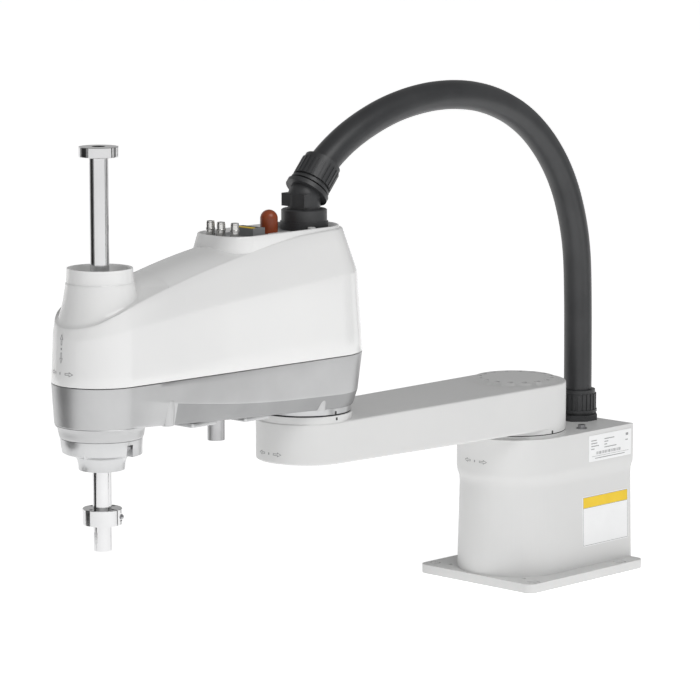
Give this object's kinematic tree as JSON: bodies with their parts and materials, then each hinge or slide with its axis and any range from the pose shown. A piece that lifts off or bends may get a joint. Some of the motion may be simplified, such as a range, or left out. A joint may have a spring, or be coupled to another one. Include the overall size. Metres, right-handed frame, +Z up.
{
  "type": "scara robot arm",
  "caption": "Bench-mounted SCARA arm: column, two horizontal links, hollow quill shaft that lifts and turns, and an overhead cable conduit.",
  "frame": {"origin": "on the mounting plane, on the first arm axis", "axes": "+X from the first axis to the elbow axis with the arm straight, +Z up, +Y to the left of +X"},
  "size_m": [0.8504, 0.175, 0.5874],
  "materials": {
    "white_paint": "satin white paint over cast aluminium",
    "white_cover": "glossy white moulding",
    "cast_silver": "metallic silver paint",
    "light_metal": "machined",
    "hard_chrome": "polished",
    "steel": "ground",
    "screws": "zinc plated",
    "motor_black": "black anodised",
    "dark_plastic": "matte",
    "deck_grey": "matte",
    "black_rubber": "matte",
    "nickel": "nickel plated",
    "lamp_red": "translucent dome",
    "label": "printed film, blank",
    "button_white": "satin"
  },
  "bodies": {
    "base": {"base_casting": "white_paint", "j1_seal": "black_rubber", "j1_reducer": "steel", "j1_motor_plate": "light_metal", "j1_motor": "motor_black", "rear_panel": "deck_grey", "rear_power_connector": "dark_plastic", "rear_signal_connector": "dark_plastic", "rear_air_couplers": "nickel", "panel_screws": "screws", "rating_plate": "label", "earth_screw": "screws", "base_gland": "dark_plastic", "base_gland_nut": "dark_plastic"},
    "arm1": {"arm1_casting": "white_paint", "arm1_bottom_cover": "white_paint", "arm1_flange_screws": "screws", "j1_output_hub": "steel", "j2_output_hub": "steel", "elbow_seal": "black_rubber", "cable_duct": "dark_plastic"},
    "arm2": {"arm2_casting": "cast_silver", "elbow_ring": "light_metal", "j2_reducer": "steel", "j2_motor_plate": "light_metal", "j2_motor": "motor_black", "elbow_stop_peg": "steel", "quill_housing": "light_metal", "quill_clamp_screw": "screws", "shaft_wiper": "black_rubber", "quill_bearings": "steel", "theta_motor": "motor_black", "theta_bracket": "light_metal", "theta_belt": "black_rubber", "z_motor": "motor_black", "z_bracket": "light_metal", "z_belt": "black_rubber", "screw_nut_bracket": "light_metal", "z_brake": "motor_black", "brake_bracket": "light_metal", "arm2_cover": "white_cover", "connector_deck": "deck_grey", "collar_bush": "white_cover", "status_lamp": "lamp_red", "deck_air_fittings": "nickel", "deck_connector": "deck_grey", "swivel_flange": "dark_plastic"},
    "duct_elbow": {"swivel_elbow": "dark_plastic", "swivel_nut": "dark_plastic"},
    "spline_drive": {"spline_nut": "steel", "theta_pulley": "steel"},
    "screw_drive": {"screw_nut": "steel", "z_pulley": "steel"},
    "quill": {"quill_shaft": "hard_chrome", "stop_flange": "hard_chrome", "clamp_ring": "hard_chrome", "clamp_ring_screw": "screws"},
    "theta_drive_pulley": {"theta_motor_pulley": "steel"},
    "z_drive_pulley": {"z_motor_pulley": "steel"},
    "brake_release": {"brake_button": "button_white"}
  },
  "joints": [
    {"name": "j1_turn", "type": "hinge", "parent": "base", "child": "arm1", "pos_m": [0, 0, 0.175], "axis": [0, 0, 1], "range_deg": [-132, 132], "deforming": ["cable_duct"]},
    {"name": "j2_turn", "type": "hinge", "parent": "arm1", "child": "arm2", "pos_m": [0.35, 0, 0.24], "axis": [0, 0, 1], "range_deg": [-145, 145]},
    {"name": "duct_swivel", "type": "hinge", "parent": "arm2", "child": "duct_elbow", "pos_m": [0.35, 0, 0.446], "axis": [0, 0, 1], "range_deg": [-145, 145]},
    {"name": "j4_turn", "type": "hinge", "parent": "arm2", "child": "spline_drive", "pos_m": [0.65, 0, 0.26], "axis": [0, 0, 1], "range_deg": [-360, 360]},
    {"name": "j3_lift", "type": "slide", "parent": "spline_drive", "child": "quill", "axis": [0, 0, 1], "range_m": [-0.112, 0.038]},
    {"name": "screw_nut_turn", "type": "hinge", "parent": "spline_drive", "child": "screw_drive", "pos_m": [0.65, 0, 0.32], "axis": [0, 0, 1], "range_deg": [-2540, 880]},
    {"name": "theta_motor_turn", "type": "hinge", "parent": "arm2", "child": "theta_drive_pulley", "pos_m": [0.44, 0, 0.287], "axis": [0, 0, 1], "range_deg": [-730, 730]},
    {"name": "z_motor_turn", "type": "hinge", "parent": "arm2", "child": "z_drive_pulley", "pos_m": [0.528, 0, 0.321], "axis": [0, 0, 1], "range_deg": [-4060, 1400]},
    {"name": "brake_press", "type": "slide", "parent": "arm2", "child": "brake_release", "axis": [0, 0, -1], "range_m": [0, 0.002], "stiffness_N_per_m": 600, "springref_m": -0.001}
  ],
  "couplings": [
    {"joint": "duct_swivel", "follows": "j2_turn", "ratio": -1},
    {"joint": "screw_nut_turn", "follows": "j3_lift", "rad_per_m": 392.7},
    {"joint": "z_motor_turn", "follows": "j3_lift", "rad_per_m": 628.32},
    {"joint": "theta_motor_turn", "follows": "j4_turn", "ratio": 2}
  ]
}
